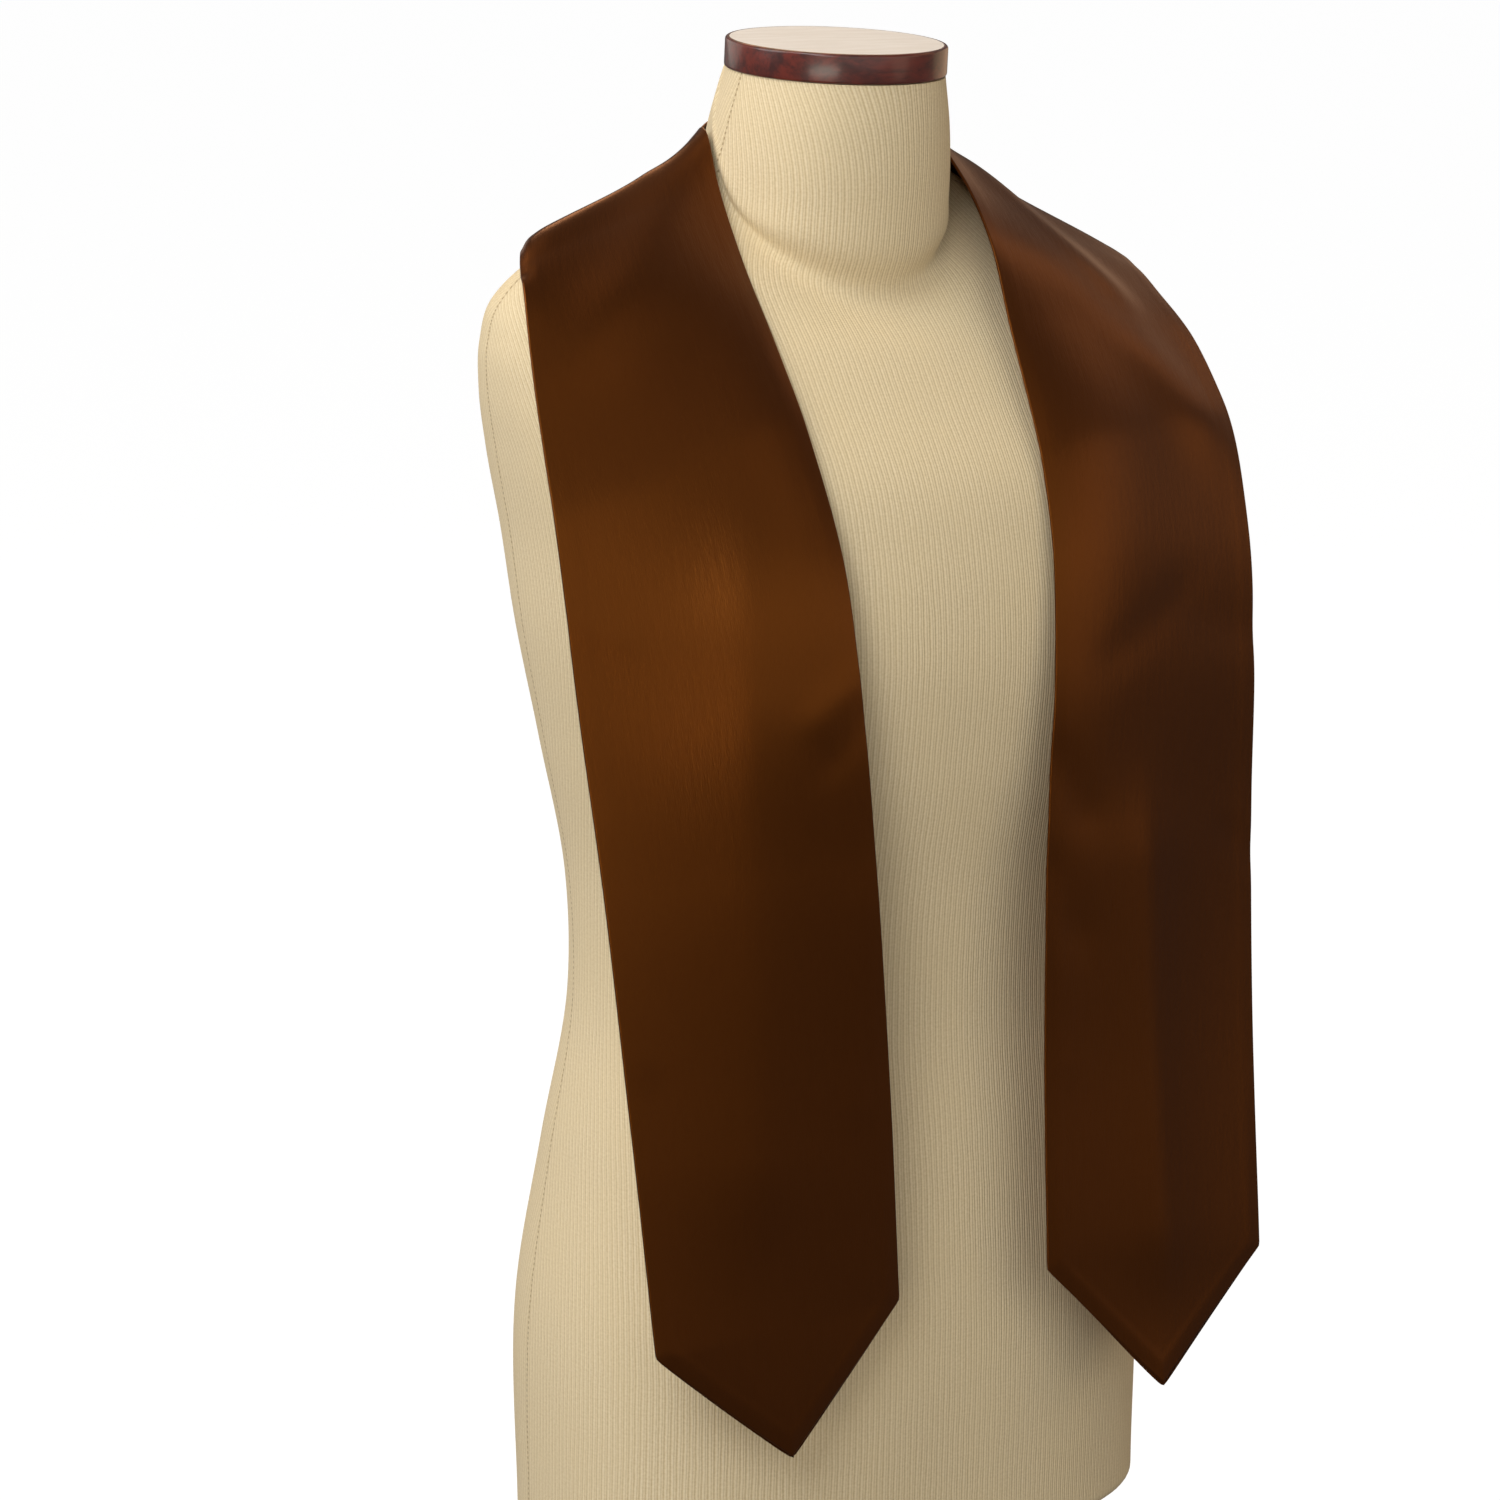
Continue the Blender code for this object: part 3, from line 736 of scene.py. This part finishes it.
def form_reach(drops, turns):
    """How far the form lies from the neck's axis at each drop, each way round, and the axis's place."""
    neck = columns(NECK_COLUMNS, NECK)
    torso = columns(TORSO_COLUMNS, TORSO)
    neck_y, neck_radius = smooth_curve(neck["drop"], stack(neck, "centre_y radius"), drops).T[:, :, None]
    torso_values = stack(torso, "centre_y half_width front back square")
    torso_y, half_width, front, back, square = smooth_curve(torso["drop"], torso_values, drops).T[:, :, None]
    low = np.zeros((len(drops), len(turns)))
    high = np.full_like(low, FORM_FARTHEST)
    for _ in range(HALVINGS):
        middle = (low + high) / 2
        x = np.cos(turns) * middle
        y = np.sin(turns) * middle + neck_y - torso_y
        depth = np.where(y < 0, front, back)
        inside = np.abs(x / half_width) ** square + np.abs(y / depth) ** square < 1
        low = np.where(inside, middle, low)
        high = np.where(inside, high, middle)
    in_front = ease(np.clip(-np.sin(turns) * FRONT_BLEND_SLOPE - FRONT_BLEND_START, 0, 1))
    blend = FORM_BLEND + (FRONT_BLEND - FORM_BLEND) * in_front
    ahead = (low - neck_radius) / blend
    swelling = math.log(2) * np.exp(-(ahead**2))
    return neck_radius + blend * (np.logaddexp(0, ahead) - swelling), neck_y


def form_rings():
    """The form's upright shape as rings of x, y, drop, from under the neck cap to its bottom edge."""
    turns = np.linspace(0, 2 * np.pi, FORM_AROUND, endpoint=False)
    turns = turns - FORM_SIDE_CROWD * np.sin(2 * turns)
    bottom = FORM_BOTTOM_DROP - FORM_EDGE
    fine = np.arange(CAP_THICK + GAP, FORM_FINE_DROP, FORM_FINE_STEP)
    drops = np.concatenate([fine, np.arange(FORM_FINE_DROP, bottom, FORM_RING_STEP), [bottom]])
    reach, neck_y = form_reach(drops, turns)
    rings = np.empty((*reach.shape, 3))
    rings[..., 0] = np.cos(turns) * reach
    rings[..., 1] = np.sin(turns) * reach + neck_y
    rings[..., 2] = drops[:, None]
    last = rings[-1]
    to_centre = unit(last.mean(axis=0) - last)
    edge = [
        last + to_centre * FORM_EDGE * (1 - math.cos(turn)) + (0, 0, FORM_EDGE * math.sin(turn))
        for turn in np.radians(FORM_EDGE_TURNS)
    ]
    return np.concatenate([rings, edge])


def lean_slope(drop):
    """How much lower the form lies for each millimetre to its left, at a drop."""
    share = ease(np.clip((LEAN_NONE_DROP - drop) / (LEAN_NONE_DROP - LEAN_FULL_DROP), 0, 1))
    neck_share = np.clip(drop / NECK_LEAN_DROP, 0, 1)
    degrees = CAP_SIDE_TILT + (LEAN - CAP_SIDE_TILT) * neck_share
    return np.tan(np.radians(degrees)) * share


def leaning(rings):
    """The rings as the form leans: a little down to its left, and with the cap's tilt just under it."""
    rings = rings.copy()
    rings[..., 2] += rings[..., 0] * lean_slope(rings[:, :1, 2])
    cap_share = np.clip(1 - (rings[..., 2] - CAP_THICK) / CAP_FOLLOW_DEPTH, 0, 1)
    rings[..., 2] -= rings[..., 1] * math.tan(math.radians(CAP_FORWARD_TILT)) * cap_share
    return rings


def dress_form(finish):
    """The form's cover: the solid's own shape, finer, with maps for its ribs and side seams."""
    upright = form_rings()
    rings = leaning(upright)
    count = len(rings)
    quads = ring_faces(count, FORM_AROUND)
    ends = rings[[0, -1]].mean(axis=1)
    points = np.concatenate([from_drop(rings).reshape(-1, 3), from_drop(ends)])
    faces = quads.tolist()
    for end, ring in ((0, 0), (1, count - 1)):
        for step in range(FORM_AROUND):
            here = ring * FORM_AROUND + step
            after = ring * FORM_AROUND + (step + 1) % FORM_AROUND
            fan = [count * FORM_AROUND + end, here, after]
            faces.append(fan[::-1] if end else fan)
    made = add_object("dress_form_cover", points, faces, [finish], smooth_below=60)

    # The maps, corner by corner, so that the front and back panels each keep their own ribs.
    ring, step = np.divmod(np.arange(len(quads)), FORM_AROUND)
    ring_of = np.stack([ring, ring + 1, ring + 1, ring], axis=1)
    step_of = np.stack([step, step, step + 1, step + 1], axis=1)
    on_front = (step >= FORM_AROUND // 2)[:, None]
    round_front, round_back, to_seam, down = cover_places(upright)
    round_it = np.where(on_front, round_front[ring_of, step_of], round_back[ring_of, step_of])
    beside = to_seam[ring_of, step_of]
    for name, across, in_fans in (("wales", round_it, 0.0), ("side_seam", beside, NO_SEAM)):
        corners = np.stack([across, down[ring_of]], axis=-1).reshape(-1, 2)
        fans = np.full(((len(faces) - len(quads)) * 3, 2), in_fans)
        add_map(made, name, np.concatenate([corners, fans]))
    return made


def cover_places(rings):
    """Millimetres along the upright form's surface, for each ring and step and once more for the first
    step: round from the middle of the front, round from the middle of the back, and to the nearer side
    seam. The last is each ring's own, down the middle of the front."""
    front = FORM_AROUND * 3 // 4
    back = FORM_AROUND // 4
    side = FORM_AROUND // 2
    steps = np.linalg.norm(np.diff(rings, axis=1, append=rings[:, :1]), axis=2)
    travelled = np.concatenate([np.zeros((len(rings), 1)), np.cumsum(steps, axis=1)], axis=1)
    down = np.concatenate([[0], np.cumsum(np.linalg.norm(np.diff(rings[:, front], axis=0), axis=1))])

    # Near the top of the neck the ribs of the front lean to the form's right, most of all on that side.
    lean = WALE_LEAN * np.clip((WALE_LEAN_DROP - rings[:, :1, 2]) / WALE_LEAN_RUN, 0, 1) ** WALE_LEAN_CURVE
    x = np.concatenate([rings[..., 0], rings[:, :1, 0]], axis=1)
    lean = lean * np.clip((WALE_LEAN_HALF - x) / (2 * WALE_LEAN_HALF), WALE_LEAN_LEAST, 1)

    round_front = travelled - travelled[:, [front]] + lean
    round_back = travelled - travelled[:, [back]]
    to_other_side = np.abs(travelled - travelled[:, [side]])
    to_seam = np.minimum.reduce([to_other_side, travelled, travelled[:, [-1]] - travelled])
    return round_front, round_back, to_seam, down


# ---------------------------------------------------------------- the turned wood


def turned_object(name, profile, finishes, forward_tilt=0.0, side_tilt=0.0, pivot_height=0.0, pale_bands=0):
    """A turned solid: profile rows are (radius, height) from the top down, starting and ending on the
    axis. The first pale_bands bands of faces get the second finish."""
    angles = np.linspace(0, 2 * np.pi, TURNED_AROUND, endpoint=False)
    profile = np.array(profile, float)
    rings = np.empty((len(profile), TURNED_AROUND, 3))
    rings[..., 0] = profile[:, :1] * np.cos(angles)
    rings[..., 1] = profile[:, :1] * np.sin(angles)
    rings[..., 2] = profile[:, 1:] - pivot_height
    tilt = rotation(side_tilt, 2, 0) @ rotation(forward_tilt, 1, 2)
    rings = rings @ tilt.T + (0, 0, pivot_height)
    faces = ring_faces(len(profile), TURNED_AROUND)
    made = add_object(name, rings.reshape(-1, 3), faces.tolist(), finishes, smooth_below=50)
    for face in made.data.polygons[: pale_bands * TURNED_AROUND]:
        face.material_index = 1
    clean(made, join_within=1e-7)
    return made


def arc(centre_radius, centre_height, size, start, end, steps=6):
    """Profile points along an arc, in degrees from straight out, counting upwards."""
    turns = np.radians(np.linspace(start, end, steps))
    return [(centre_radius + size * math.cos(turn), centre_height + size * math.sin(turn)) for turn in turns]


def disc_profile(radius, top, bottom, edge, top_rings=(0.0,)):
    """A disc with rounded edges, and with rings at these radii on its top."""
    profile = [(at, top) for at in top_rings]
    profile += arc(radius - edge, top - edge, edge, 90, 0)
    profile += arc(radius - edge, bottom + edge, edge, 0, -90)
    profile.append((0.0, bottom))
    return profile


def neck_cap():
    top_rings = (0.0, CAP_FACE_RADIUS)
    return turned_object(
        "cap_turned",
        disc_profile(CAP_RADIUS, CAP_TOP, CAP_TOP - CAP_THICK, CAP_EDGE, top_rings),
        [cherry("cherry_cap", 0), painted_reflection_face()],
        CAP_FORWARD_TILT,
        CAP_SIDE_TILT,
        CAP_TOP,
        pale_bands=1,
    )


def pole():
    top = CAP_TOP - FORM_BOTTOM_DROP - GAP
    bottom = BASE_THICK + GAP
    under = top - FLANGE_THICK + FLANGE_UNDER_EDGE
    profile = [(0.0, top)]
    profile += arc(FLANGE_RADIUS - FLANGE_EDGE, top - FLANGE_EDGE, FLANGE_EDGE, 90, 0, 4)
    profile += arc(FLANGE_RADIUS - FLANGE_UNDER_EDGE, under, FLANGE_UNDER_EDGE, 0, -90, 5)
    profile += [(radius, top - from_end) for radius, from_end in FLANGE_SWELL]
    profile += [(radius, bottom + from_end) for radius, from_end in FOOT_SWELL]
    profile += arc(FOOT_RADIUS - FOOT_SHOULDER, bottom + FOOT_THICK, FOOT_SHOULDER, 60, 0, 4)
    profile += arc(FOOT_RADIUS - FOOT_EDGE, bottom + FOOT_EDGE, FOOT_EDGE, 0, -90, 4)
    profile.append((0.0, bottom))
    return turned_object("pole_turned", profile, [cherry("cherry_pole", 2)])


def base():
    profile = disc_profile(BASE_RADIUS, BASE_THICK, 0.0, BASE_EDGE, BASE_RINGS)
    return turned_object("base_turned", profile, [cherry("cherry_base", 0)])


# ---------------------------------------------------------------- camera, light and floor, in metres

CAMERA_PLACE = (-1.58976, -2.54414, 1.214)
CAMERA_DOWN = 12.37
CAMERA_TURN = -31.17
CAMERA_LENS = 143.47
CAMERA_SENSOR = 36.0
CAMERA_NEAR = 0.05
CAMERA_FAR = 60.0

# Softboxes aimed at the stole: azimuth from straight in front towards the form's left, elevation above the
# middle of the stole, distance, width and height, power and colour.
LIT_PLACE = (0, -0.08, 0.62)
SOFTBOXES = (
    ("front", 2, 15, 3.0, (3.6, 2.2), 15.5, (1.0, 0.95, 0.88)),
    ("front_high", 16, 47, 3.0, (1.3, 0.8), 2, (1.0, 0.9, 0.76)),
    ("key", -46, 27, 3.0, (1.1, 1.1), 18, WHITE),
    ("high_left", -70, 57, 3.0, (1.2, 1.2), 26, WHITE),
    ("side_left", -108, 26, 3.0, (1.8, 1.8), 28, WHITE),
    ("side_high", -108, 52, 3.0, (1.2, 1.0), 16, (1.0, 0.80, 0.58)),
    ("low_side", -45, -5, 3.0, (1.8, 0.45), 14, (1.0, 0.88, 0.74)),
    ("front_right", 51, 19, 3.0, (1.8, 1.3), 5, (1.0, 0.80, 0.55)),
    ("low_right", 38, 2, 3.0, (1.1, 1.5), 3.2, (1.0, 0.84, 0.64)),
    ("right", 112, 4, 3.0, (2.6, 2.2), 10, (1.0, 0.62, 0.34)),
    ("high_right", 92, 37, 3.0, (1.0, 0.9), 3, (1.0, 0.6, 0.25)),
    ("overhead", -30, 84, 2.6, (1.2, 1.2), 2, (1.0, 0.8, 0.6)),
    ("back_top", 154, 44, 2.4, (1.2, 0.9), 10, (1.0, 0.66, 0.36)),
    ("back", 195, 14, 3.0, (2.4, 1.8), 9, (1.0, 0.92, 0.82)),
)
WORLD_GLOW = 0.12
FLOOR_GLOW = 0.97
FLOOR_MIDDLE = 1.0  # radius of the floor's first ring
FLOOR_FLAT = 12.0  # out to where the floor bends up into a wall
FLOOR_BEND = 3.0
FLOOR_AROUND = 96


def camera():
    data = bpy.data.cameras.new("camera")
    data.lens = CAMERA_LENS
    data.sensor_width = CAMERA_SENSOR
    data.clip_start = CAMERA_NEAR
    data.clip_end = CAMERA_FAR
    made = bpy.data.objects.new("camera", data)
    made.location = CAMERA_PLACE
    made.rotation_euler = (math.radians(90 - CAMERA_DOWN), 0, math.radians(CAMERA_TURN))
    bpy.context.scene.collection.objects.link(made)
    bpy.context.scene.camera = made


def softbox(name, azimuth, elevation, distance, size, power, tint):
    """A soft oval light that aims at the lit place and isn't seen itself."""
    data = bpy.data.lights.new(name, "AREA")
    data.shape = "ELLIPSE"
    data.size, data.size_y = size
    data.energy = power
    data.color = tint
    turn = math.radians(azimuth)
    rise = math.radians(elevation)
    way = Vector((math.sin(turn) * math.cos(rise), -math.cos(turn) * math.cos(rise), math.sin(rise)))
    target = Vector(LIT_PLACE)
    made = bpy.data.objects.new(name, data)
    made.location = target + distance * way
    made.rotation_euler = (target - made.location).to_track_quat("-Z", "Y").to_euler()
    made.visible_camera = False
    bpy.context.scene.collection.objects.link(made)


def studio_floor():
    """The floor bends up into a wall all round. It is seen and catches shadows, but sends no light back."""
    rows = [(0.0, 0.0), (FLOOR_MIDDLE, 0.0), (FLOOR_FLAT, 0.0)]
    rows += arc(FLOOR_FLAT, FLOOR_BEND, FLOOR_BEND, -80, 0, 9)
    rows.append((FLOOR_FLAT + FLOOR_BEND, 3 * FLOOR_BEND))
    angles = np.linspace(0, 2 * math.pi, FLOOR_AROUND, endpoint=False)
    points = [(radius * math.cos(turn), radius * math.sin(turn), z) for radius, z in rows for turn in angles]
    faces = ring_faces(len(rows), FLOOR_AROUND).tolist()
    floor = add_object("floor", np.array(points) / MM, faces, [backdrop()])
    floor.visible_diffuse = False
    floor.visible_glossy = False
    floor.visible_shadow = False


def studio():
    scene = bpy.context.scene
    scene.view_settings.view_transform = "Standard"
    scene.world = bpy.data.worlds.new("studio")
    scene.world.use_nodes = True
    background = scene.world.node_tree.nodes["Background"]
    background.inputs["Color"].default_value = (*WHITE, 1.0)
    background.inputs["Strength"].default_value = WORLD_GLOW
    for row in SOFTBOXES:
        softbox(*row)
    studio_floor()


# ---------------------------------------------------------------- put together


def main():
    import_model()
    camera()
    studio()
    cloth = satin()
    right = stole_half("stole_right_cloth", RIGHT_SECTIONS, RIGHT_TIP, RIGHT_FOLDS, -1, 0.0, cloth)
    left = stole_half("stole_left_cloth", LEFT_SECTIONS, LEFT_TIP, LEFT_FOLDS, 1, LEFT_POINT_BOW, cloth)
    cover = dress_form(jersey())
    pieces = (
        (right, "stole_right", "stole_satin"),
        (left, "stole_left", "stole_satin"),
        (cover, "dress_form", "cream_jersey"),
        (neck_cap(), "neck_cap", "cherry_wood"),
        (pole(), "pole", "cherry_wood"),
        (base(), "base", "cherry_wood"),
    )
    for piece, node, slot in pieces:
        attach(piece, "root")
        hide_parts(node)
    bpy.context.view_layer.update()


main()
